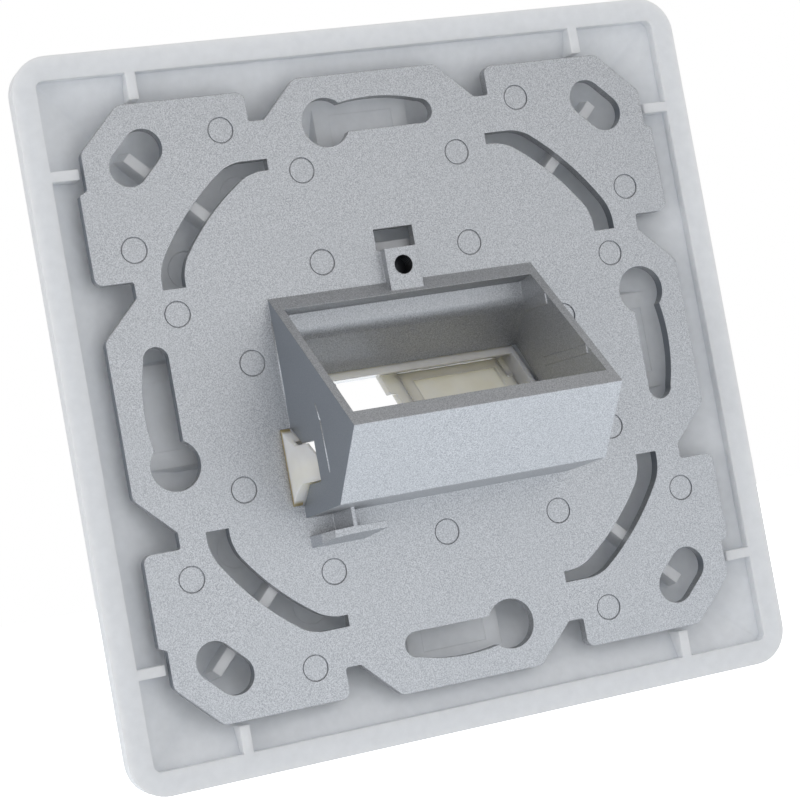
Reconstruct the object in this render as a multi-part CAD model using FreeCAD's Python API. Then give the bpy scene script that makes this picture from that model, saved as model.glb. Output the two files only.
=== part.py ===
"""Flush-mounted two-port keystone faceplate with a 45 degree outlet.

A die-cast carrier lies against the wall and holds two keystone jacks in a slanted chute.
A one-piece square cover goes over it from the front and a port insert snaps into the chute.
One port is open and the other is closed by a blank.  A single screw holds the cover.

Frame: X to the right seen from the room, +Z up, +Y into the wall.  The origin is the middle of
the carrier's back face, which is the wall plane, so Y > 0 is inside the wall box.
"""
import FreeCAD, Part
import math
import os

V = FreeCAD.Vector
os.makedirs("parts", exist_ok=True)

# ---------------------------------------------------------------- driving dimensions (mm)
# carrier plate
PLATE_T = 1.4            # thickness of the cast plate
PLATE_HALF = 35.4        # half size over the middle lobes and the side jogs
LOBE_HALF = 34.5         # half size over the corner lobes
LOBE_INNER = 14.85       # distance from the centre line to the inner side of a corner lobe
NOTCH_FLOOR = 31.1       # floor of the notch between a corner lobe and a middle lobe
CORNER_CUT = 4.9         # leg of the corner chamfer
MID_SLOPE = 44.1         # |x| + |z| on the sloping flanks of a middle lobe
JOG_Z = 25.4             # height at which the side edge of a corner lobe steps outwards

# keyhole slots, four around the plate
SCREW_PITCH = 60.0       # distance between opposite device screws
KEY_HEAD_X, KEY_HEAD_R = 5.75, 2.85
KEY_TAIL_X, KEY_TAIL_R = 6.0, 1.6
KEY_INNER = 28.7         # inner edge of the narrow part
KEY_BULGE = (32.1, 32.45)

# oblong slots in the corners and curved slots in the quadrants
OBLONG_C, OBLONG_W, OBLONG_L = 28.45, 4.4, 7.1
ARC_IN, ARC_OUT = 29.8, 32.15
ARC_CUT, ARC_CLIP_Z, ARC_CLIP_X, ARC_LIP = 13.5, 26.65, 28.0, 25.35

# ejector marks
MARK_R, MARK_DEPTH = 1.5, 0.2

# chute: section in the Y-Z plane
RIM_TOP_Z = 10.87        # where the sloping rim meets the plate
RIM_TIP = (19.2, -5.27)  # Y, Z of the rearmost outer edge
FOLD = (11.17, -13.15)   # Y, Z of the outer fold below the tip
FOOT_Z = -13.96          # outer foot of the chute on the plate
CHUTE_HALF = 16.33       # outer half width at the plate
CHUTE_DRAFT = 0.0335     # loss of half width per millimetre of height
BAY_HALF = 15.28         # inner half width at the plate
BAY_DRAFT = 0.022
BAY_TOP = 8.15           # Z - Y of the upper channel wall
BAY_LOW = -21.2          # Z - Y of the lower channel wall
BAY_END = -4.25          # Z + Y of the front end of the channel walls
SNOUT_TOP = 10.3         # Z - Y of the outside of the upper channel wall
RIM_IN_Z = 9.32          # inner top edge of the rim
STEP_Y = -1.7            # floor of the ledge under the rim
STEP_LOW_Z = 8.96        # upper end of that floor
LEDGE_ROUND = 2.6        # round between the ledge under the rim and the upper channel wall
LEDGE_UNDER_Y = -3.1     # front of the wall that carries the ledge
LEDGE_UNDER_Z = 10.1
BAY_WALL_Z = -12.65      # lower wall of the bay at the wall plane
FAR = 30.0               # clear of everything behind the plate

# threaded boss and the slot above it
BOSS_HALF, BOSS_TOP_Z, BOSS_H = 2.0, 14.6, 1.4
SCREW_Z = 12.53
THREAD_R = 1.1
BOSS_SLOT_HALF, BOSS_SLOT_TOP = 2.4, 17.1

# snap windows in the side walls of the chute, as (Y, Z) corners
WINDOW = ((0, -3.6), (2.9, -5.75), (6.7, -5.75), (6.7, -10.25), (3.1, -10.35), (0, -12.7))

# cable-tie hook below the chute: a crossbar on a thin stem
HOOK_X = 12.3
HOOK_H = 4.5
HOOK_FOOT = (-2.0, 4.3, -17.5, -16.1)    # left, right, low and high side of the crossbar's foot
HOOK_TOP = (-3.75, 1.9, -16.5, -15.7)    # the same at its top
HOOK_SLOPE = (0.6, 3.9)                  # X and Y where the top starts to slope down
STEM_FOOT, STEM_TOP = 1.0, 0.21          # half widths of the stem

# round marks of the ejector pins: (X, Z) of those on the right, and of single ones
MARKS_ALL_ROUND = ((18.3, 30.45), (30.45, 18.3))
MARKS_BOTH_SIDES = ((26.86, 10.65), (9.61, 24.86), (9.14, 14.2), (19.35, 4.08), (22.85, -9.65))
MARKS_SINGLE = ((0, -18.3), (-14.17, -18.3), (14.18, -20.35))

# cover
COVER_HALF = 40.8
COVER_R = 4.2
RIM_Y = -0.3             # back of the cover's rim, just clear of the wall
RIM_IN = 38.07           # half size of the opening inside the rim
FLOOR_EDGE_Y = -1.6      # where the inner slope starts at the rim
FLOOR_Y = -5.3           # flat inner floor
FLOOR_HALF = 28.8
FACE_Y = -7.2            # flat front face
SLOPE = (FLOOR_EDGE_Y - FLOOR_Y) / (RIM_IN - FLOOR_HALF)
SHELF_Y = -3.85          # flat shelf in the middle of each side, where the keyholes look at it
SHELF_OUT = RIM_IN - (FLOOR_EDGE_Y - SHELF_Y) / SLOPE + 0.4
SHELF_HALF, SHELF_IN = 5.8, 25.5
BLADE_HALF, BLADE_OUT = 3.9, 31.5
DISC_R, DISC_H = 2.1, 0.15
DISCS = ((23.5, 16.0), (15.9, 23.8))
NOSE_TOP, NOSE_FRONT = 14.4, -11.0       # Z - Y and Z + Y of the outlet's nose
NOSE_IN_TOP, NOSE_IN_FRONT = 12.3, -9.6  # the same for its hollow
NOSE_HALF, NOSE_IN_HALF = 18.2, 16.7
NOSE_ROUND = 1.3
CHIN_HALF, CHIN_LOW, CHIN_TOP, CHIN_BACK = 16.4, -18.6, -11.6, -2.3
MOUTH_HALF, MOUTH_TOP = 14.9, 1.0
CHIN_LINE = -9.4                         # Z - Y of the sloping chin below the mouth
RIB_X, RIB_T, RIB_IN = 27.4, 1.16, 35.0
DIAGONAL_T = 1.2
DIAGONAL_IN, DIAGONAL_OUT = 23.5, 41.0   # ends of a diagonal rib, from the middle
DIAGONAL_STEP = (33.5, 36.0)             # where its top steps down from the carrier
DIAGONAL_LOW_Y = -2.0
STIFF_HALF, STIFF_Z, STIFF_Y = 2.75, (14.8, 15.85), -2.1
PILLAR_R, PILLAR_BORE = 2.0, 1.4
SEAT_R, SEAT_DEEP = 2.7, 1.5             # sunk seat of the screw head
ROOT = FLOOR_Y - 0.5                     # ribs and pillars start inside the floor

# port insert, in a chute at 45 degrees
LEDGE = -4.35            # Z + Y of the insert's back ledge
FLOOR_BACK = -7.8        # Z + Y of the back of the port floor
FLOOR_FRONT = -9.35      # Z + Y of its front
INSERT_HALF = 15.0
INSERT_TOP_Z = 2.8
INSERT_LOW = -11.95      # Z - Y of its lower face
INSERT_FRONT_Y = -5.2
FOOT_BACK_Y = -2.2       # the foot that stands on the lower wall of the bay
FOOT_TOP_Z, FOOT_LOW_Z = -11.3, -12.5
POCKET_HALF = 14.4
ROOF_Z = 0.95            # underside of the insert's top wall
BAR_HALF = 0.7           # half width of the bar between the ports
PORT_LOW_Z = -9.3
KEY_W, KEY_H = 0.7, 2.5  # key in the upper corner of each port

# snap lug on each side of the insert
LUG_SIDE = ((0.08, -3.75), (2.8, -5.9), (4.9, -5.9), (6.5, -7.5), (6.5, -10.1), (3.0, -10.2),
            (0.08, -12.5))
LUG_PLAN = ((POCKET_HALF, 0), (17.6, 0), (17.6, 1.6), (16.0, 6.6), (POCKET_HALF, 6.6))
LUG_HOLLOW = ((14.3, -1.3), (15.1, -1.3), (16.9, 0.6), (16.9, 1.6), (15.75, 6.7), (14.3, 6.7))
LUG_HOLLOW_Z = (-7.6, -5.4)

# blank in the port on the left
BLANK_GAP = 0.1
BLANK_T = 2.05
PANEL_EDGE = 1.1         # width of the raised border above and below the sunk panel
PANEL_SIDE_OUT, PANEL_SIDE_IN = 1.4, 1.4
PANEL_DEEP = 0.8

# screw
HEAD_R, HEAD_H, SHANK_R, TIP_Y = 2.3, 1.2, 1.09, -1.0
CROSS_HALF, CROSS_T, CROSS_DEEP = 1.3, 0.56, 0.6


# ---------------------------------------------------------------- helpers
def rounded_wire(corners):
    """Closed wire through (point, radius) corners, with an arc of that radius at each corner."""
    n = len(corners)
    edges = []
    ends = []
    for i in range(n):
        p, r = corners[i]
        a = corners[i - 1][0] - p
        b = corners[(i + 1) % n][0] - p
        a.normalize()
        b.normalize()
        if r <= 0:
            ends.append((p, p))
            continue
        half = a.getAngle(b) / 2
        reach = r / math.tan(half)
        middle = a + b
        middle.normalize()
        start, stop = p + a * reach, p + b * reach
        mid = p + middle * (r / math.sin(half) - r)
        edges.append(Part.Arc(start, mid, stop).toShape())
        ends.append((start, stop))
    for i in range(n):
        p, q = ends[i][1], ends[(i + 1) % n][0]
        if (p - q).Length > 1e-6:
            edges.append(Part.LineSegment(p, q).toShape())
    return Part.Wire(Part.__sortEdges__(edges))


def plate(points, y0, y1):
    """Prism between y0 and y1 over an outline of (x, z, corner radius) points."""
    corners = [(V(x, y0, z), r) for x, z, r in points]
    return Part.Face(rounded_wire(corners)).extrude(V(0, y1 - y0, 0))


def prism_x(section, x0, x1):
    """Prism along X over a closed section of (y, z) or (y, z, corner radius) points."""
    corners = [(V(x0, p[0], p[1]), p[2] if len(p) == 3 else 0) for p in section]
    return Part.Face(rounded_wire(corners)).extrude(V(x1 - x0, 0, 0))


def prism_z(section, z0, z1):
    """Prism along Z over a closed section of (x, y) points."""
    pts = [V(x, y, z0) for x, y in section]
    return Part.Face(Part.makePolygon(pts + pts[:1])).extrude(V(0, 0, z1 - z0))


def block(x0, x1, y0, y1, z0, z1):
    return Part.makeBox(x1 - x0, y1 - y0, z1 - z0, V(x0, y0, z0))


def peg(x, z, r, y0, y1):
    """Cylinder along Y."""
    return Part.makeCylinder(r, y1 - y0, V(x, y0, z), V(0, 1, 0))


def planes_solid(rings):
    """Solid between two parallel four-cornered rings, closed with flat faces."""
    low, high = rings
    faces = [Part.Face(Part.makePolygon(low + low[:1])), Part.Face(Part.makePolygon(high + high[:1]))]
    for i in range(4):
        j = (i + 1) % 4
        faces.append(Part.Face(Part.makePolygon([low[i], low[j], high[j], high[i], low[i]])))
    return Part.makeSolid(Part.makeShell(faces))


def taper(x0, x1, z0, z1, y0, top_x0, top_x1, top_z0, top_z1, y1):
    """Drafted block along Y: one rectangle at y0 and another at y1."""
    low = [V(x0, y0, z0), V(x1, y0, z0), V(x1, y0, z1), V(x0, y0, z1)]
    high = [V(top_x0, y1, top_z0), V(top_x1, y1, top_z0), V(top_x1, y1, top_z1), V(top_x0, y1, top_z1)]
    solid = planes_solid((low, high))
    return solid if solid.Volume > 0 else solid.reversed()


def frustum(half0, y0, half1, y1):
    """Square frustum along Y between two half sizes."""
    return taper(-half0, half0, -half0, half0, y0, -half1, half1, -half1, half1, y1)


def turned(shape, quarter):
    """Copy turned by quarter turns about the Y axis through the origin."""
    copy = shape.copy()
    copy.rotate(V(0, 0, 0), V(0, 1, 0), 90 * quarter)
    return copy


def mirrored(shape, normal):
    return shape.mirror(V(0, 0, 0), normal)


def save(shape, name):
    """Writes one closed solid as parts/NAME.step."""
    shape = shape.removeSplitter()
    solids = shape.Solids
    assert len(solids) == 1 and solids[0].isValid(), (name, len(solids), shape.isValid())
    solids[0].exportStep("parts/%s.step" % name)


# ---------------------------------------------------------------- carrier
def carrier_outline():
    """Outline of the cast plate: corner lobes, notches and middle lobes, the same in each quadrant."""
    top_x = MID_SLOPE - PLATE_HALF
    foot_x = MID_SLOPE - NOTCH_FLOOR
    flat = LOBE_HALF - CORNER_CUT
    quadrant = [
        (top_x, PLATE_HALF, 1.2),
        (foot_x, NOTCH_FLOOR, 0.3),
        (LOBE_INNER, NOTCH_FLOOR, 0.3),
        (LOBE_INNER, LOBE_HALF, 1.0),
        (flat, LOBE_HALF, 1.2),
        (LOBE_HALF, flat, 1.2),
        (LOBE_HALF, JOG_Z, 0.4),
        (PLATE_HALF, JOG_Z - 0.4, 0.3),
        (PLATE_HALF, LOBE_INNER, 1.0),
        (NOTCH_FLOOR, LOBE_INNER, 0.3),
        (NOTCH_FLOOR, foot_x, 0.3),
        (PLATE_HALF, top_x, 1.2),
    ]
    right = quadrant + [(x, -z, r) for x, z, r in reversed(quadrant)]
    return right + [(-x, z, r) for x, z, r in reversed(right)]


def keyhole():
    """Keyhole of the upper side: a round head, and a tail whose outer edge is bowed."""
    y0, y1 = -PLATE_T - 1, 1
    z = SCREW_PITCH / 2
    head = peg(KEY_HEAD_X, z, KEY_HEAD_R, y0, y1)
    tail_out = z + KEY_TAIL_R
    bow = Part.Arc(V(3.8, y0, KEY_BULGE[0]), V(0.5, y0, KEY_BULGE[1]), V(-KEY_TAIL_X, y0, tail_out))
    mouth = V(KEY_HEAD_X, y0, KEY_BULGE[0] - 0.4)
    low_a, low_b = V(KEY_HEAD_X, y0, KEY_INNER), V(-KEY_TAIL_X, y0, KEY_INNER)
    cap = V(-KEY_TAIL_X - (tail_out - KEY_INNER) / 2, y0, (tail_out + KEY_INNER) / 2)
    edges = [
        bow.toShape(),
        Part.Arc(V(-KEY_TAIL_X, y0, tail_out), cap, low_b).toShape(),
        Part.LineSegment(low_b, low_a).toShape(),
        Part.LineSegment(low_a, mouth).toShape(),
        Part.LineSegment(mouth, V(3.8, y0, KEY_BULGE[0])).toShape(),
    ]
    tail = Part.Face(Part.Wire(Part.__sortEdges__(edges))).extrude(V(0, y1 - y0, 0))
    return head.fuse(tail)


def oblong():
    """Oblong slot in the upper right corner, lying across the diagonal."""
    r = OBLONG_W / 2
    reach = (OBLONG_L / 2 - r) / math.sqrt(2)
    y0, y1 = -PLATE_T - 1, 1
    a = (OBLONG_C - reach, OBLONG_C + reach)
    b = (OBLONG_C + reach, OBLONG_C - reach)
    side = r / math.sqrt(2)
    bar = plate([(a[0] - side, a[1] - side, 0), (a[0] + side, a[1] + side, 0),
                 (b[0] + side, b[1] + side, 0), (b[0] - side, b[1] - side, 0)], y0, y1)
    return bar.fuse([peg(a[0], a[1], r, y0, y1), peg(b[0], b[1], r, y0, y1)])


def curved_slot():
    """Curved slot of the upper right quadrant, cut square at its ends."""
    y0, y1 = -PLATE_T - 1, 1
    ring = peg(0, 0, ARC_OUT, y0, y1).cut(peg(0, 0, ARC_IN, y0, y1))
    band = ring.common(block(ARC_CUT, ARC_CLIP_X, y0, y1, ARC_CUT, ARC_CLIP_Z))
    meet = math.sqrt(ARC_IN ** 2 - ARC_LIP ** 2)
    upper = block(ARC_CUT, meet, y0, y1, ARC_LIP, ARC_CLIP_Z)
    lower = block(ARC_LIP, ARC_CLIP_X, y0, y1, ARC_CUT, meet)
    corner = peg(0, 0, ARC_OUT, y0, y1)
    return band.fuse([upper.common(corner), lower.common(corner)])


def ejector_marks():
    """Centres of the round marks that the die's ejector pins leave on the back."""
    marks = list(MARKS_SINGLE)
    for x, z in MARKS_ALL_ROUND:
        marks += [(x, z), (-x, z), (x, -z), (-x, -z)]
    for x, z in MARKS_BOTH_SIDES:
        marks += [(x, z), (-x, z)]
    return marks


def chute_side(x, draft, section_y0, section_y1):
    """Prism along Z that trims a chute to its drafted width."""
    pts = [(-x + draft * section_y0, section_y0), (x - draft * section_y0, section_y0),
           (x - draft * section_y1, section_y1), (-x + draft * section_y1, section_y1)]
    return prism_z(pts, -40, 40)


def chute_body():
    """Chute behind the plate, and the snout that carries its upper wall to the front."""
    rear = prism_x([(-PLATE_T, FOOT_Z), (0, FOOT_Z), FOLD, RIM_TIP, (0, RIM_TOP_Z),
                    (-PLATE_T, RIM_TOP_Z)], -20, 20)
    end_z = (SNOUT_TOP + BAY_END) / 2
    snout = prism_x([(-PLATE_T, LEDGE_UNDER_Z), (LEDGE_UNDER_Y, LEDGE_UNDER_Z),
                     (LEDGE_UNDER_Y, SNOUT_TOP + LEDGE_UNDER_Y), (BAY_END - end_z, end_z),
                     (-PLATE_T, BAY_END + PLATE_T)], -20, 20)
    return rear.fuse(snout).common(chute_side(CHUTE_HALF, CHUTE_DRAFT, -10, 25))


def hook():
    """Crossbar with one end sloping down, held off the chute by a thin stem."""
    left, right, low, high = HOOK_FOOT
    top_left, top_right, top_low, top_high = HOOK_TOP
    bar = taper(HOOK_X + left, HOOK_X + right, low, high, -PLATE_T / 2,
                HOOK_X + top_left, HOOK_X + top_right, top_low, top_high, HOOK_H)
    slope_x, slope_y = HOOK_SLOPE
    over = prism_z([(HOOK_X + slope_x, HOOK_H), (HOOK_X + right, slope_y - 1.0),
                    (HOOK_X + right, HOOK_H + 1), (HOOK_X + slope_x, HOOK_H + 1)], -20, -10)
    stem = taper(HOOK_X - STEM_FOOT, HOOK_X + STEM_FOOT, high - 0.2, FOOT_Z + 0.6, -PLATE_T / 2,
                 HOOK_X - STEM_TOP, HOOK_X + STEM_TOP, high - 0.2, FOOT_Z + 0.9, HOOK_H)
    return bar.cut(over).fuse(stem)


def bay():
    """Space for the jacks: a 45 degree channel, the ledge above it and the opening in the plate."""
    rim_slope = (RIM_TOP_Z - RIM_TIP[1]) / RIM_TIP[0]
    low_slope = (FOLD[1] - FOOT_Z) / FOLD[0]
    low_y = (BAY_WALL_Z - BAY_LOW) / (1 - low_slope)
    front = -14.0
    section = [
        ((RIM_TOP_Z - RIM_IN_Z) / rim_slope, RIM_IN_Z),
        (STEP_Y + 0.15, STEP_LOW_Z),
        (STEP_Y, BAY_TOP + STEP_Y, LEDGE_ROUND),
        (front, BAY_TOP + front),
        (front, BAY_WALL_Z + low_slope * front),
        (low_y, BAY_WALL_Z + low_slope * low_y),
        (FAR, FAR + BAY_LOW),
        (FAR, RIM_IN_Z + 3),
    ]
    return prism_x(section, -20, 20).common(chute_side(BAY_HALF, BAY_DRAFT, -16, 32))


def make_carrier():
    boss = block(-BOSS_HALF, BOSS_HALF, -PLATE_T, BOSS_H, RIM_TOP_Z - 1.3, BOSS_TOP_Z)
    body = plate(carrier_outline(), -PLATE_T, 0).fuse([chute_body(), boss, hook()])
    body = body.cut(bay())
    body = body.cut(prism_x(WINDOW, -20, 20))

    cuts = [turned(keyhole(), q) for q in range(4)]
    for tool in (oblong(), curved_slot()):
        right = [tool, mirrored(tool, V(0, 0, 1))]
        cuts += right + [mirrored(one, V(1, 0, 0)) for one in right]
    cuts.append(block(-BOSS_SLOT_HALF, BOSS_SLOT_HALF, -PLATE_T - 1, 1, BOSS_TOP_Z, BOSS_SLOT_TOP))
    cuts.append(peg(0, SCREW_Z, THREAD_R, -PLATE_T - 1, BOSS_H + 1))
    for x, z in ejector_marks():
        cuts.append(peg(x, z, MARK_R, -MARK_DEPTH, 1))
    return body.cut(cuts)


# ---------------------------------------------------------------- cover
def square(half, r):
    return [(half, half, r), (half, -half, r), (-half, -half, r), (-half, half, r)]


def hood_section(top, front, base_y, r):
    """Triangle of the outlet's nose: upper slope Z - Y = top, front face Z + Y = front, rounded tip."""
    return [(base_y, top + base_y), ((front - top) / 2, (front + top) / 2, r), (base_y, front - base_y)]


def shelf():
    """Flat shelf in the foot of the upper slope, with sloping ends and an ejector blade's outline."""
    body = taper(-SHELF_HALF - 0.7, SHELF_HALF + 0.7, SHELF_IN, 34.0, ROOT,
                 -SHELF_HALF, SHELF_HALF, SHELF_IN, 34.0, SHELF_Y)
    blade = block(-BLADE_HALF, BLADE_HALF, SHELF_Y - 0.1, 0, SHELF_IN + 0.8, BLADE_OUT)
    return body.cut(blade).common(block(-10, 10, -20, 0, 0, SHELF_OUT))


def diagonal_rib():
    """Rib along a diagonal, shown along +X: the carrier lies on its inner part."""
    step_in, step_out = DIAGONAL_STEP
    section = [(DIAGONAL_IN, ROOT), (DIAGONAL_OUT + 0.8, ROOT), (DIAGONAL_OUT, DIAGONAL_LOW_Y),
               (step_out, DIAGONAL_LOW_Y), (step_in, -PLATE_T), (DIAGONAL_IN, -PLATE_T)]
    return prism_z(section, -DIAGONAL_T / 2, DIAGONAL_T / 2)


def rim_ribs():
    """Two short ribs against the upper side of the rim."""
    ribs = []
    for x in (-RIB_X, RIB_X):
        ribs.append(block(x - RIB_T / 2, x + RIB_T / 2, ROOT, RIM_Y, RIB_IN, RIM_IN + 0.5))
    return ribs


def dish():
    """Rounded square, sloping up on all sides to a flat face, and hollow behind."""
    edge = FLOOR_HALF + 0.4
    outer = plate(square(COVER_HALF, COVER_R), FACE_Y, RIM_Y)
    outer = outer.common(frustum(edge, FACE_Y, edge + (RIM_Y - FACE_Y) / SLOPE, RIM_Y))
    hollow = plate(square(RIM_IN, 0.9), FLOOR_Y, 1)
    hollow = hollow.common(frustum(FLOOR_HALF, FLOOR_Y, FLOOR_HALF + (1 - FLOOR_Y) / SLOPE, 1))
    return outer, hollow


def make_cover():
    outer, hollow = dish()
    nose = prism_x(hood_section(NOSE_TOP, NOSE_FRONT, ROOT, NOSE_ROUND), -NOSE_HALF, NOSE_HALF)
    chin = block(-CHIN_HALF, CHIN_HALF, ROOT, CHIN_BACK, CHIN_LOW, CHIN_TOP)
    body = outer.cut(hollow).fuse([nose, chin])
    body = body.cut(prism_x(hood_section(NOSE_IN_TOP, NOSE_IN_FRONT, FLOOR_Y + 0.001, 0),
                            -NOSE_IN_HALF, NOSE_IN_HALF))

    # what stands on the inner floor: ribs, shelves, and a stiffening bar and the screw's pillar
    standing = []
    for q in range(4):
        rib = diagonal_rib()
        rib.rotate(V(0, 0, 0), V(0, 1, 0), 45 + 90 * q)
        standing.append(rib)
        for piece in rim_ribs() + [shelf()]:
            standing.append(turned(piece.common(outer), q))
    low_z, high_z = STIFF_Z
    standing.append(plate([(STIFF_HALF, low_z, 0.5), (STIFF_HALF, high_z, 0.5),
                           (-STIFF_HALF, high_z, 0.5), (-STIFF_HALF, low_z, 0.5)], ROOT, STIFF_Y))
    standing.append(peg(0, SCREW_Z, PILLAR_R, ROOT, -PLATE_T - 0.02))
    body = body.fuse(standing)

    cuts = []
    for x, z in DISCS:
        for sx, sz in ((1, 1), (1, -1), (-1, 1), (-1, -1)):
            cuts.append(peg(sx * x, sz * z, DISC_R, FLOOR_Y - DISC_H, FLOOR_Y + 1))

    # the mouth: under the nose, through the face and down the sloping chin
    front, back = -14.0, -2.0
    cuts.append(prism_x([
        (front, MOUTH_TOP), (-9.85, MOUTH_TOP), (CHIN_BACK, -6.55), (back, -8.0),
        (back, back + CHIN_LINE), (FACE_Y - 2, FACE_Y - 2 + CHIN_LINE), (front, -16.4)],
        -MOUTH_HALF, MOUTH_HALF))

    # screw hole with a sunk seat
    cuts.append(peg(0, SCREW_Z, PILLAR_BORE, FACE_Y - 1, 0))
    cuts.append(peg(0, SCREW_Z, SEAT_R, FACE_Y - 1, FACE_Y + SEAT_DEEP))
    return body.cut(cuts)


# ---------------------------------------------------------------- port insert
def port_slice():
    """Layer of the port floor: everything between its back and its front plane."""
    return prism_x([(FLOOR_BACK - 3, 3), (FLOOR_BACK + 14, -14), (FLOOR_FRONT + 14, -14),
                    (FLOOR_FRONT - 3, 3)], -20, 20)


def lug():
    """Snap lug on the right side, hollow behind so that it can give way."""
    body = prism_x(LUG_SIDE, POCKET_HALF, 20)
    return body.common(prism_z(LUG_PLAN, -20, 20))


def make_insert():
    ledge = LEDGE - 0.1
    section = [
        (ledge - INSERT_TOP_Z, INSERT_TOP_Z),
        (INSERT_TOP_Z + INSERT_LOW, INSERT_TOP_Z),
        ((FLOOR_FRONT + INSERT_LOW) / 2, (FLOOR_FRONT - INSERT_LOW) / 2),
        (INSERT_FRONT_Y, FLOOR_FRONT - INSERT_FRONT_Y),
        (INSERT_FRONT_Y, FOOT_TOP_Z),
        (FOOT_BACK_Y, FOOT_TOP_Z),
        (FOOT_BACK_Y, FOOT_LOW_Z),
        (ledge - INSERT_LOW, INSERT_LOW),
    ]
    body = prism_x(section, -INSERT_HALF, INSERT_HALF)

    # rear pocket behind the port floor, and the front one that the plugs pass through
    rear = prism_x([(FLOOR_BACK - ROOF_Z, ROOF_Z), (5, ROOF_Z), (20, -5), (20, FOOT_TOP_Z),
                    (FLOOR_BACK - FOOT_TOP_Z, FOOT_TOP_Z)], -POCKET_HALF, POCKET_HALF)
    front = prism_x([(FLOOR_FRONT - 1.5, 1.5), (FLOOR_FRONT + 9.9, -9.9), (FOOT_BACK_Y, -11.25),
                     (FOOT_BACK_Y, -13), (-13, -13), (-13, 1.5)], -POCKET_HALF, POCKET_HALF)
    cuts = [rear, front]
    keys = []
    for side in (1, -1):
        x0, x1 = sorted((side * BAR_HALF, side * POCKET_HALF))
        cuts.append(block(x0, x1, -14, 8, PORT_LOW_Z, ROOF_Z).common(port_slice()))
        keys.append(block(x0, x0 + KEY_W, -14, 3, ROOF_Z - KEY_H, ROOF_Z + 0.3).common(port_slice()))
    hollow = prism_z(LUG_HOLLOW, *LUG_HOLLOW_Z)
    body = body.cut(cuts).fuse(keys + [lug(), mirrored(lug(), V(1, 0, 0))])
    return body.cut([hollow, mirrored(hollow, V(1, 0, 0))])


def make_blank():
    """Closes the port on the left: a plate with a raised border, a sunk panel and a notch for the key."""
    top, low = ROOF_Z - BLANK_GAP, PORT_LOW_Z + BLANK_GAP
    back = FLOOR_BACK - BLANK_GAP
    left, right = -POCKET_HALF + BLANK_GAP, -BAR_HALF - BLANK_GAP
    slab = prism_x([(back - top, top), (back - low, low), (back - BLANK_T - low, low),
                    (back - BLANK_T - top, top)], left, right)
    notch = block(left - 1, left + KEY_W, -14, 5, top - KEY_H, top + 1)
    panel_top, panel_low = top - PANEL_EDGE, low + PANEL_EDGE
    panel = prism_x([(back + 3 - panel_top, panel_top), (back + 3 - panel_low, panel_low),
                     (back - PANEL_DEEP - panel_low, panel_low),
                     (back - PANEL_DEEP - panel_top, panel_top)],
                    left + PANEL_SIDE_OUT, right - PANEL_SIDE_IN)
    return slab.cut([notch, panel])


def make_screw():
    """Pan-head screw with a cross recess; its head lies in the cover's sunk seat."""
    head_y = FACE_Y + SEAT_DEEP
    face_y = head_y - HEAD_H
    head = peg(0, SCREW_Z, HEAD_R, face_y, head_y)
    body = head.fuse(peg(0, SCREW_Z, SHANK_R, head_y - 0.2, TIP_Y))
    for turn in (45, 135):
        slot = block(-CROSS_HALF, CROSS_HALF, face_y - 0.1, face_y + CROSS_DEEP,
                     -CROSS_T / 2, CROSS_T / 2)
        slot.rotate(V(0, 0, 0), V(0, 1, 0), turn)
        slot.translate(V(0, 0, SCREW_Z))
        body = body.cut(slot)
    return body


save(make_carrier(), "carrier")
save(make_cover(), "cover")
save(make_insert(), "port_insert")
save(make_blank(), "port_blank")
save(make_screw(), "centre_screw")
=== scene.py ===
"""Looks of a flush-mounted keystone faceplate: cast carrier, white cover, ivory port insert."""
import math

import bmesh
import bpy
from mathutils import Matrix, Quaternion, Vector


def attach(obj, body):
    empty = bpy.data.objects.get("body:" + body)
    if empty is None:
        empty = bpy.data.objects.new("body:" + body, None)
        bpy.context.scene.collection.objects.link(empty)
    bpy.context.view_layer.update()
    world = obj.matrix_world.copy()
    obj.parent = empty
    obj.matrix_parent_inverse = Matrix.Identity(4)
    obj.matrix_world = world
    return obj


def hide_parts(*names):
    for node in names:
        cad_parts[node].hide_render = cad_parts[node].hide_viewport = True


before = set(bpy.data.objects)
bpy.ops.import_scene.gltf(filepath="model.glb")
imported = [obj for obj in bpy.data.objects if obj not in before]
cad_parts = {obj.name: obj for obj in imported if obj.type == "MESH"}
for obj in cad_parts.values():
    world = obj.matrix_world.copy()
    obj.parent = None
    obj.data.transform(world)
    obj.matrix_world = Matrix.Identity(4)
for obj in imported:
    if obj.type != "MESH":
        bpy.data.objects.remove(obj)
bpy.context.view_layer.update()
bpy.ops.object.select_all(action="DESELECT")

# ------------------------------------------------------------------ carrier
# Zinc die-casting, left as it comes out of the die: matte silver grey with a fine grain that the
# die's eroded surface prints on it.  Cast edges are never sharp, so every edge gets a small round.

CASTING_EDGE = 0.00013          # round of the cast edges, drawn by the material
WELD = 0.000002                 # points of a CAD mesh closer than this become one
UPRIGHT_SLACK = 0.000001        # an edge that leans less than this stands upright
FLAT = math.radians(1)          # faces that turn less than this become one
CURVED = math.radians(32)       # faces that turn less than this are shaded as one curve
GRAIN = 0.00014                 # spacing of the die's eroded grain, drawn as coarse as it shows
FLOW = 0.00625                  # spacing of the soft clouds that the metal's flow leaves
MARK_Y, MARK_SLACK = -0.0002, 0.00003           # place of the ejector pins' marks in the plate
GROOVE_WIDTH, GROOVE_DEPTH = 0.0001, 0.00013    # ring that a pin leaves around its mark
GROOVE_LIP = 0.00001            # lean of the ring's inner side
SLOT_EASE = 0.0014              # how far the bends of the curved slots are rounded
SLOT_OFF_AXES = 0.012           # those bends lie at least this far from the X and Z axes
SLOT_REACH = 0.0325             # and no farther than this from the plate's middle
BEND_LEAST, BEND_MOST = math.radians(25), math.radians(40)
BORE_Z, BORE_R, THREAD_PITCH = 0.01253, 0.0011, 0.0004      # tapped bore of the boss
WALL_OUT, WALL_OUT_DRAFT = 0.01633, 0.0335      # outer half width of the chute, and its draft
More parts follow.
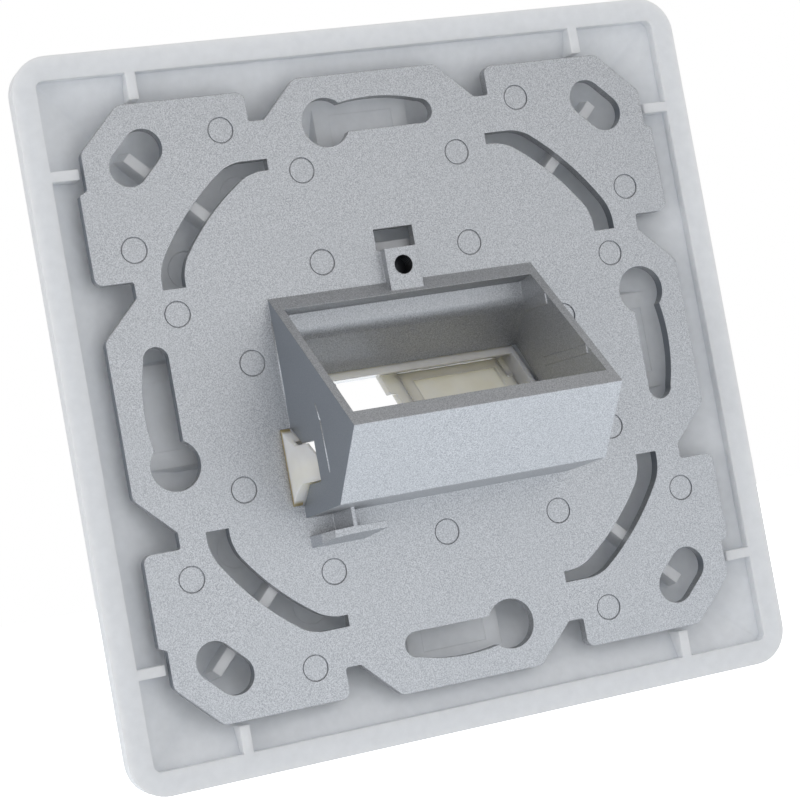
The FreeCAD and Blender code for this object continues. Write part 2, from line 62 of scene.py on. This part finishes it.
WALL_IN, WALL_IN_DRAFT = 0.01528, 0.022         # the same inside
OUTER_WALL = 0.0155             # beyond this the outer side walls get painted shade, a darker bluish grey where they face sideways
FLASH_R = 0.00009               # radius of a line of flash
FLASH_PATHS = (                 # (Y, Z) corners of the lines of flash on an outer side wall
    ((0.0001, 0.0083), (0.0001, -0.0006)),
    ((0.009, -0.0019), (0.00962, -0.0038), (0.00986, -0.0095)),
)
PRINT_T = 0.00024               # thickness of the prints of the die's inserts, half of it sunk
PRINTS = (                      # their Y range and Z range on an inner side wall
    ((-0.0012, 0.005), (0.00535, 0.00655)),
    ((0.0013, 0.0135), (-0.00145, -0.00045)),
)


def linear(hex_colour):
    """sRGB hex value as linear RGBA."""
    channels = [int(hex_colour[i:i + 2], 16) / 255 for i in (1, 3, 5)]
    return [c / 12.92 if c <= 0.04045 else ((c + 0.055) / 1.055) ** 2.4 for c in channels] + [1.0]


def add_node(tree, kind, links=(), inputs=(), **settings):
    """Adds a node with its settings, its input values and its links as (input, node, output)."""
    node = tree.nodes.new(kind)
    for name, value in settings.items():
        setattr(node, name, value)
    for name, value in inputs:
        node.inputs[name].default_value = value
    for name, source, output in links:
        tree.links.new(source.outputs[output], node.inputs[name])
    return node


def new_material(name):
    """Node material with nothing in it yet, and its node tree."""
    material = bpy.data.materials.new(name)
    material.use_nodes = True
    material.node_tree.nodes.clear()
    return material, material.node_tree


def bend_of_slot(edge):
    """An upright edge where a curved slot turns into its straight end."""
    start, end = (vertex.co for vertex in edge.verts)
    upright = math.hypot(start.x - end.x, start.z - end.z) < UPRIGHT_SLACK
    in_reach = math.hypot(start.x, start.z) < SLOT_REACH
    off_axes = min(abs(start.x), abs(start.z)) > SLOT_OFF_AXES
    return upright and in_reach and off_axes and BEND_LEAST < edge.calc_face_angle(0) < BEND_MOST


def ease_and_groove(mesh):
    """Rounds the bends of the curved slots and cuts a ring around every ejector pin's mark."""
    bends = [edge for edge in mesh.edges if bend_of_slot(edge)]
    bmesh.ops.bevel(mesh, geom=bends, offset=SLOT_EASE, segments=5, profile=0.5, affect="EDGES",
                    clamp_overlap=True)
    marks = [face for face in mesh.faces if len(face.verts) > 10 and face.normal.y > 0.99
             and abs(face.calc_center_median().y - MARK_Y) < MARK_SLACK]
    bmesh.ops.inset_individual(mesh, faces=marks, thickness=GROOVE_WIDTH)
    bmesh.ops.inset_individual(mesh, faces=marks, thickness=GROOVE_LIP, depth=GROOVE_DEPTH)


def clean_copy(node_name, piece_name, cut=None):
    """Copy of a CAD node, merged to plain faces, then cut if need be, its curves shaded smooth."""
    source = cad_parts[node_name]
    piece = bpy.data.objects.new(piece_name, source.data.copy())
    bpy.context.scene.collection.objects.link(piece)
    piece.data.materials.clear()
    mesh = bmesh.new()
    mesh.from_mesh(piece.data)
    bmesh.ops.remove_doubles(mesh, verts=mesh.verts, dist=WELD)
    bmesh.ops.dissolve_limit(mesh, angle_limit=FLAT, verts=mesh.verts, edges=mesh.edges)
    if cut:
        cut(mesh)
    mesh.to_mesh(piece.data)
    mesh.free()
    bpy.context.view_layer.objects.active = piece
    piece.select_set(True)
    bpy.ops.mesh.customdata_custom_splitnormals_clear()
    bpy.ops.object.shade_smooth_by_angle(angle=CURVED)
    flat = piece.modifiers.new("flat_faces", "WEIGHTED_NORMAL")
    flat.mode = "FACE_AREA"
    flat.weight = 100
    flat.keep_sharp = True
    bpy.ops.object.modifier_apply(modifier=flat.name)
    piece.select_set(False)
    return piece


def zinc_casting():
    """As-cast zinc: metal under a fine matte grain, a little darker and shinier in the pits, with
    painted shade on the chute's outer side walls.
    """
    material, tree = new_material("as_cast_zinc")
    place = add_node(tree, "ShaderNodeTexCoord")
    askew = add_node(tree, "ShaderNodeMapping", [("Vector", place, "Object")],
                     [("Rotation", (0.6, 0.4, 0.9))])
    grain = add_node(tree, "ShaderNodeTexNoise", [("Vector", askew, "Vector")],
                     [("Scale", 1 / GRAIN), ("Detail", 2.0), ("Roughness", 0.7)])
    flow = add_node(tree, "ShaderNodeTexNoise", [("Vector", place, "Object")],
                    [("Scale", 1 / FLOW), ("Detail", 2.0), ("Roughness", 0.5)])
    tone = add_node(tree, "ShaderNodeValToRGB", [("Fac", grain, "Fac")])
    tone.color_ramp.elements[0].position = 0.38
    tone.color_ramp.elements[0].color = linear("#8F9194")
    tone.color_ramp.elements[1].position = 0.64
    tone.color_ramp.elements[1].color = linear("#C7C8CB")
    cloud_share = add_node(tree, "ShaderNodeMapRange", [("Value", flow, "Fac")],
                           [("To Max", 0.5)])
    cloud = add_node(tree, "ShaderNodeMixRGB",
                     [("Color1", tone, "Color"), ("Fac", cloud_share, "Result")],
                     [("Color2", linear("#ADAFB2"))])
    # Painted shade: where the chute's outer side walls face sideways, their colour is mixed towards
    # a darker bluish grey that stands in for the shade beside the chute.
    facing = add_node(tree, "ShaderNodeSeparateXYZ", [("Vector", place, "Normal")])
    sideways = add_node(tree, "ShaderNodeMath", [(0, facing, "X")], operation="ABSOLUTE")
    side_facing = add_node(tree, "ShaderNodeMapRange", [("Value", sideways, "Value")],
                     [("From Min", 0.8), ("From Max", 1.0)])
    spot = add_node(tree, "ShaderNodeSeparateXYZ", [("Vector", place, "Object")])
    aside = add_node(tree, "ShaderNodeMath", [(0, spot, "X")], operation="ABSOLUTE")
    outside = add_node(tree, "ShaderNodeMath", [(0, aside, "Value")], [(1, OUTER_WALL)],
                       operation="GREATER_THAN")
    painted_side_shade = add_node(tree, "ShaderNodeMath", [(0, side_facing, "Result"), (1, outside, "Value")],
                    operation="MULTIPLY")
    colour = add_node(tree, "ShaderNodeMixRGB", [("Color1", cloud, "Color"), ("Fac", painted_side_shade, "Value")],
                      [("Color2", linear("#90959C"))])
    rough = add_node(tree, "ShaderNodeMapRange", [("Value", grain, "Fac")],
                     [("From Min", 0.3), ("From Max", 0.7), ("To Min", 0.4), ("To Max", 0.56)])
    edges = add_node(tree, "ShaderNodeBevel", inputs=[("Radius", CASTING_EDGE)], samples=4)
    bump = add_node(tree, "ShaderNodeBump", [("Height", grain, "Fac"), ("Normal", edges, "Normal")],
                    [("Strength", 0.35), ("Distance", 0.00004)])
    shader = add_node(tree, "ShaderNodeBsdfPrincipled",
                      [("Base Color", colour, "Color"), ("Roughness", rough, "Result"),
                       ("Normal", bump, "Normal")],
                      [("Metallic", 0.85)])
    add_node(tree, "ShaderNodeOutputMaterial", [("Surface", shader, "BSDF")])
    return material


def tapped_thread_painted_shade():
    """Tapped bore, painted near black as shade deep inside the bore, with bumps for the thread."""
    material, tree = new_material("tapped_thread_painted_shade")
    place = add_node(tree, "ShaderNodeTexCoord")
    turns_scale = math.pi / 10 / THREAD_PITCH       # at scale 1 the wave's bands lie pi / 10 apart
    turns = add_node(tree, "ShaderNodeTexWave", [("Vector", place, "Object")],
                     [("Scale", turns_scale)], bands_direction="Y")
    bump = add_node(tree, "ShaderNodeBump", [("Height", turns, "Fac")],
                    [("Strength", 1.0), ("Distance", 0.0002)])
    # Painted shade: the near-black base colour stands in for the shade inside the bore.
    shader = add_node(tree, "ShaderNodeBsdfPrincipled", [("Normal", bump, "Normal")],
                      [("Base Color", linear("#2C2D2F")), ("Metallic", 0.85), ("Roughness", 0.45)])
    add_node(tree, "ShaderNodeOutputMaterial", [("Surface", shader, "BSDF")])
    return material


def flash_line(start, end):
    """Thin line of flash along a wall, half sunk in it."""
    way = end - start
    bpy.ops.mesh.primitive_cylinder_add(vertices=8, radius=FLASH_R, depth=way.length,
                                        location=(start + end) / 2,
                                        rotation=way.to_track_quat("Z", "Y").to_euler())
    bpy.ops.object.shade_smooth()
    return bpy.context.active_object


def insert_print(side, y_range, z_range):
    """Low pad that an insert of the die prints on an inner side wall of the chute."""
    (y0, y1), (z0, z1) = y_range, z_range
    middle_y = (y0 + y1) / 2
    middle = (side * (WALL_IN - WALL_IN_DRAFT * middle_y), middle_y, (z0 + z1) / 2)
    bpy.ops.mesh.primitive_cube_add(size=1, location=middle,
                                    rotation=(0, 0, side * math.atan(WALL_IN_DRAFT)),
                                    scale=(PRINT_T, y1 - y0, z1 - z0))
    return bpy.context.active_object


carrier = clean_copy("carrier", "carrier_casting", cut=ease_and_groove)
carrier.data.materials.append(zinc_casting())
carrier.data.materials.append(tapped_thread_painted_shade())
# The walls of the tapped bore get the painted-shade material.
for face in carrier.data.polygons:
    in_bore = math.hypot(face.center.x, face.center.z - BORE_Z) < BORE_R
    is_wall = abs(face.normal.y) < 0.5
    face.material_index = int(in_bore and is_wall)

scars = []
for side in (-1, 1):
    for path in FLASH_PATHS:
        corners = [Vector((side * (WALL_OUT - WALL_OUT_DRAFT * y), y, z)) for y, z in path]
        scars += [flash_line(start, end) for start, end in zip(corners, corners[1:])]
    scars += [insert_print(side, y_range, z_range) for y_range, z_range in PRINTS]
for scar in scars:
    scar.data.materials.append(carrier.data.materials[0])
    scar.select_set(True)
carrier.select_set(True)
bpy.context.view_layer.objects.active = carrier
bpy.ops.object.join()
bpy.ops.object.select_all(action="DESELECT")
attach(carrier, "root")
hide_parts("carrier")

# ------------------------------------------------------------------ cover
# One injection moulding in white ABS.  Its hollow back is as the mould left it: satin, with soft
# edges and a little light scattered under the surface.

COVER_EDGE = 0.00015            # round of the moulded edges, drawn by the material
MOTTLE = 0.00111                # spacing of the mould's mottling, drawn coarser than it is, to show


def white_abs():
    """White ABS: an even satin white with the faintest mottling from the mould's eroded surface."""
    material, tree = new_material("moulded_white_abs")
    place = add_node(tree, "ShaderNodeTexCoord")
    mottle = add_node(tree, "ShaderNodeTexNoise", [("Vector", place, "Object")],
                      [("Scale", 1 / MOTTLE), ("Detail", 2.0)])
    tone = add_node(tree, "ShaderNodeValToRGB", [("Fac", mottle, "Fac")])
    tone.color_ramp.elements[0].position = 0.3
    tone.color_ramp.elements[0].color = linear("#DFE1E4")
    tone.color_ramp.elements[1].position = 0.7
    tone.color_ramp.elements[1].color = linear("#E4E6E9")
    edges = add_node(tree, "ShaderNodeBevel", inputs=[("Radius", COVER_EDGE)], samples=4)
    bump = add_node(tree, "ShaderNodeBump", [("Height", mottle, "Fac"), ("Normal", edges, "Normal")],
                    [("Strength", 0.08), ("Distance", 0.00003)])
    shader = add_node(tree, "ShaderNodeBsdfPrincipled",
                      [("Base Color", tone, "Color"), ("Normal", bump, "Normal")],
                      [("Roughness", 0.42), ("IOR", 1.53), ("Subsurface Weight", 0.9),
                       ("Subsurface Radius", (1.0, 1.0, 0.98)), ("Subsurface Scale", 0.0024)])
    add_node(tree, "ShaderNodeOutputMaterial", [("Surface", shader, "BSDF")])
    return material


cover = clean_copy("cover", "cover_moulding")
cover.data.materials.append(white_abs())
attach(cover, "root")
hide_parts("cover")

# ------------------------------------------------------------------ port insert and blank
# Both are small mouldings in natural ivory plastic, glossy and slightly translucent, so that thin
# walls glow warm where light comes through.  The insert snaps into the chute with a lug on each
# side, and the blank closes one of its ports.

INSERT_EDGE = 0.0002            # round of the moulded edges, drawn by the material
CLOUD = 0.00286                 # spacing of the soft clouds in the unpigmented plastic
LUG_X = 0.0165                  # the snap lugs stand out beyond this
LUG_ROOT_SHADE = (0.0004, 0.0009)     # heights between which painted golden-brown shade at a lug's root fades out


def ivory_plastic():
    """Unpigmented ivory plastic: glossy, with light scattered a short way under the surface, and
    painted golden-brown shade at the lugs' roots.
    """
    material, tree = new_material("natural_ivory_plastic")
    place = add_node(tree, "ShaderNodeTexCoord")
    cloud = add_node(tree, "ShaderNodeTexNoise", [("Vector", place, "Object")],
                     [("Scale", 1 / CLOUD), ("Detail", 2.0)])
    tone = add_node(tree, "ShaderNodeValToRGB", [("Fac", cloud, "Fac")])
    tone.color_ramp.elements[0].position = 0.3
    tone.color_ramp.elements[0].color = linear("#E2DFD6")
    tone.color_ramp.elements[1].position = 0.7
    tone.color_ramp.elements[1].color = linear("#EAE8E0")
    # Painted shade: near the plate, the lugs' outer faces are mixed towards golden brown, which
    # stands in for the contact shade there and the warm light seen through the plastic.
    spot = add_node(tree, "ShaderNodeSeparateXYZ", [("Vector", place, "Object")])
    aside = add_node(tree, "ShaderNodeMath", [(0, spot, "X")], operation="ABSOLUTE")
    lug = add_node(tree, "ShaderNodeMath", [(0, aside, "Value")], [(1, LUG_X)],
                   operation="GREATER_THAN")
    root = add_node(tree, "ShaderNodeMapRange", [("Value", spot, "Y"), ("To Min", lug, "Value")],
                    [("From Min", LUG_ROOT_SHADE[0]), ("From Max", LUG_ROOT_SHADE[1]), ("To Max", 0.0)])
    colour = add_node(tree, "ShaderNodeMixRGB", [("Color1", tone, "Color"), ("Fac", root, "Result")],
                      [("Color2", linear("#A08A58"))])
    edges = add_node(tree, "ShaderNodeBevel", inputs=[("Radius", INSERT_EDGE)], samples=4)
    shader = add_node(tree, "ShaderNodeBsdfPrincipled",
                      [("Base Color", colour, "Color"), ("Normal", edges, "Normal")],
                      [("Roughness", 0.22), ("IOR", 1.5), ("Subsurface Weight", 0.9),
                       ("Subsurface Radius", (1.0, 0.93, 0.7)), ("Subsurface Scale", 0.004)])
    add_node(tree, "ShaderNodeOutputMaterial", [("Surface", shader, "BSDF")])
    return material


ivory = ivory_plastic()
for name in ("port_insert", "port_blank"):
    moulding = clean_copy(name, name + "_moulding")
    moulding.data.materials.append(ivory)
    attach(moulding, "root")
    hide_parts(name)

# ------------------------------------------------------------------ screw
# Small machine screw, cold-headed steel with bright zinc plating.  Its threaded shank, deep in the
# bore, is painted near black as shade.  It keeps its modelled mesh and only gets a new material.

SHANK_Y = -0.0052               # the threaded shank, painted dark as shade, starts here
SCUFF = 0.0004                  # spacing of the tumbled texture


def zinc_plating():
    """Bright zinc plating: cool silver with a faint blue cast and a fine tumbled texture, and
    painted shade, near black, on the threaded shank.
    """
    material, tree = new_material("bright_zinc_plating")
    place = add_node(tree, "ShaderNodeTexCoord")
    scuff = add_node(tree, "ShaderNodeTexNoise", [("Vector", place, "Object")],
                     [("Scale", 1 / SCUFF)])
    rough = add_node(tree, "ShaderNodeMapRange", [("Value", scuff, "Fac")],
                     [("To Min", 0.2), ("To Max", 0.4)])
    # Painted shade: the shank inside the bore is coloured near black to stand in for the shade
    # there.
    spot = add_node(tree, "ShaderNodeSeparateXYZ", [("Vector", place, "Object")])
    shank_shade = add_node(tree, "ShaderNodeMath", [(0, spot, "Y")], [(1, SHANK_Y)],
                     operation="GREATER_THAN")
    colour = add_node(tree, "ShaderNodeMixRGB", [("Fac", shank_shade, "Value")],
                      [("Color1", linear("#C9CCD1")), ("Color2", linear("#343538"))])
    shader = add_node(tree, "ShaderNodeBsdfPrincipled",
                      [("Roughness", rough, "Result"), ("Base Color", colour, "Color")],
                      [("Metallic", 1.0)])
    add_node(tree, "ShaderNodeOutputMaterial", [("Surface", shader, "BSDF")])
    return material


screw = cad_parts["centre_screw"]
screw.data.materials.clear()
screw.data.materials.append(zinc_plating())

# ------------------------------------------------------------------ floor, light and camera
# Pale floor well below the part under a soft sky, a broad key lamp and a small fill lamp that light
# the part from behind, and the camera behind it, a little to its right as seen from the room.

FLOOR_Z, FLOOR_SIZE = -0.11, 6
FLOOR_LIFT = 0.95               # glow of the floor as the camera and the mirror-like metal see it
SKY_LOW, SKY_HIGH = 0.72, 0.7   # light of the sky at the horizon and high up
SKY_HIGH_AT = 0.8               # height on the sky from which it is SKY_HIGH
bpy.ops.mesh.primitive_plane_add(size=FLOOR_SIZE, location=(0, 0, FLOOR_Z))
floor = bpy.context.active_object
floor.name = "studio_floor"
floor_material, floor_tree = new_material("pale_floor")
floor_path = add_node(floor_tree, "ShaderNodeLightPath")
floor_seen = add_node(floor_tree, "ShaderNodeMath",
                      [(0, floor_path, "Is Camera Ray"), (1, floor_path, "Is Glossy Ray")],
                      operation="MAXIMUM")
floor_lift = add_node(floor_tree, "ShaderNodeMath", [(0, floor_seen, "Value")], [(1, FLOOR_LIFT)],
                      operation="MULTIPLY")
floor_tint = add_node(floor_tree, "ShaderNodeMixRGB", [("Fac", floor_path, "Is Glossy Ray")],
                      [("Color1", linear("#FFFFFF")), ("Color2", linear("#EFF7FF"))])
floor_glow = add_node(floor_tree, "ShaderNodeEmission",
                      [("Strength", floor_lift, "Value"), ("Color", floor_tint, "Color")])
floor_paint = add_node(floor_tree, "ShaderNodeBsdfDiffuse", inputs=[("Color", linear("#F2F4F6"))])
floor_shader = add_node(floor_tree, "ShaderNodeAddShader",
                        [(0, floor_paint, "BSDF"), (1, floor_glow, "Emission")])
add_node(floor_tree, "ShaderNodeOutputMaterial", [("Surface", floor_shader, "Shader")])
floor.data.materials.append(floor_material)

world = bpy.data.worlds.new("studio")
bpy.context.scene.world = world
world.use_nodes = True
world.node_tree.nodes.clear()
sky_tree = world.node_tree
sky_path = add_node(sky_tree, "ShaderNodeLightPath")
sky_seen = add_node(sky_tree, "ShaderNodeMath",
                    [(0, sky_path, "Is Camera Ray"), (1, sky_path, "Is Transmission Ray")],
                    operation="MAXIMUM")
sky_direction = add_node(sky_tree, "ShaderNodeTexCoord")
sky_height = add_node(sky_tree, "ShaderNodeSeparateXYZ", [("Vector", sky_direction, "Generated")])
sky_light = add_node(sky_tree, "ShaderNodeMapRange", [("Value", sky_height, "Z")],
                     [("From Max", SKY_HIGH_AT), ("To Min", SKY_LOW), ("To Max", SKY_HIGH)])
sky_strength = add_node(sky_tree, "ShaderNodeMapRange",
                        [("Value", sky_seen, "Value"), ("To Min", sky_light, "Result")],
                        [("To Max", 1.0)])
sky = add_node(sky_tree, "ShaderNodeBackground", [("Strength", sky_strength, "Result")],
               [("Color", linear("#FFFFFF"))])
add_node(sky_tree, "ShaderNodeOutputWorld", [("Surface", sky, "Background")])


def soft_lamp(name, place, size, power):
    """Square area lamp turned towards the part."""
    bpy.ops.object.light_add(type="AREA", location=place)
    lamp = bpy.context.active_object
    lamp.name = name
    lamp.data.energy = power
    lamp.data.size = size
    lamp.rotation_euler = (-Vector(place)).to_track_quat("-Z", "Y").to_euler()


soft_lamp("key", place=(-0.1, 0.54, 0.1), size=0.32, power=0.22)
soft_lamp("fill", place=(0.55, 0.25, -0.02), size=0.16, power=0.45)

CAMERA_PLACE = Vector((0.09126, 0.23013, -0.01266))
VIEW_AZIMUTH, VIEW_RISE, VIEW_ROLL = (math.radians(angle) for angle in (21.02, 2.33, 10.19))
LENS_MM, SENSOR_MM = 97.53, 36
looking = Vector((-math.sin(VIEW_AZIMUTH) * math.cos(VIEW_RISE),
                  -math.cos(VIEW_AZIMUTH) * math.cos(VIEW_RISE),
                  math.sin(VIEW_RISE)))
bpy.ops.object.camera_add(location=CAMERA_PLACE)
camera = bpy.context.active_object
camera.rotation_mode = "QUATERNION"
camera.rotation_quaternion = Quaternion(looking, VIEW_ROLL) @ looking.to_track_quat("-Z", "Y")
camera.data.lens = LENS_MM
camera.data.sensor_width = SENSOR_MM
camera.data.clip_start = 0.01
bpy.context.scene.camera = camera
bpy.context.scene.view_settings.view_transform = "Standard"
